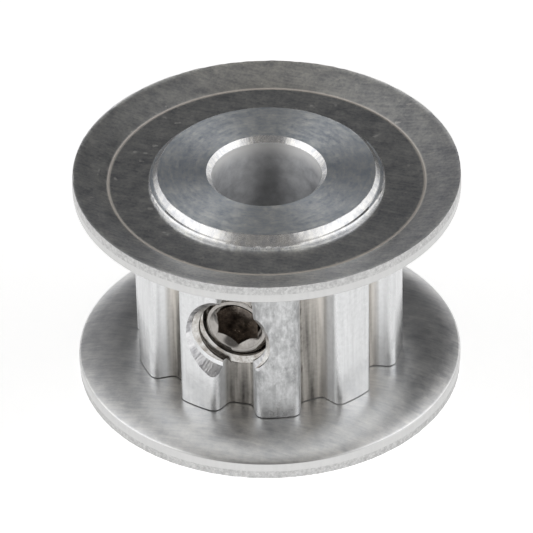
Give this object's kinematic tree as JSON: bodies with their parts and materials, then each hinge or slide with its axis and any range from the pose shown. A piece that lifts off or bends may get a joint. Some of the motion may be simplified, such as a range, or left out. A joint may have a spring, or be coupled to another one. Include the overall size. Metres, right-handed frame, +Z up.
{
  "type": "timing belt pulley",
  "caption": "Small flanged timing belt pulley with trapezoidal teeth, a plain shaft bore and a radial hex socket set screw.",
  "frame": {"origin": "centre of the shaft bore on the lower end face, which the pulley stands on", "axes": "+Z up along the bore axis; the set screw is on the -Y side with its axis along Y"},
  "size_m": [0.0224, 0.0224, 0.0137],
  "materials": {
    "machined_aluminium": "satin",
    "rolled_sheet": "satin",
    "screw_steel": "polished"
  },
  "bodies": {
    "pulley": {"hub": "machined_aluminium", "upper_flange": "rolled_sheet", "lower_flange": "rolled_sheet"},
    "set_screw": {"set_screw": "screw_steel"}
  },
  "joints": [
    {"name": "set_screw_travel", "type": "slide", "parent": "pulley", "child": "set_screw", "axis": [0, -1, 0], "range_m": [-0.00079, 0.00238]}
  ]
}
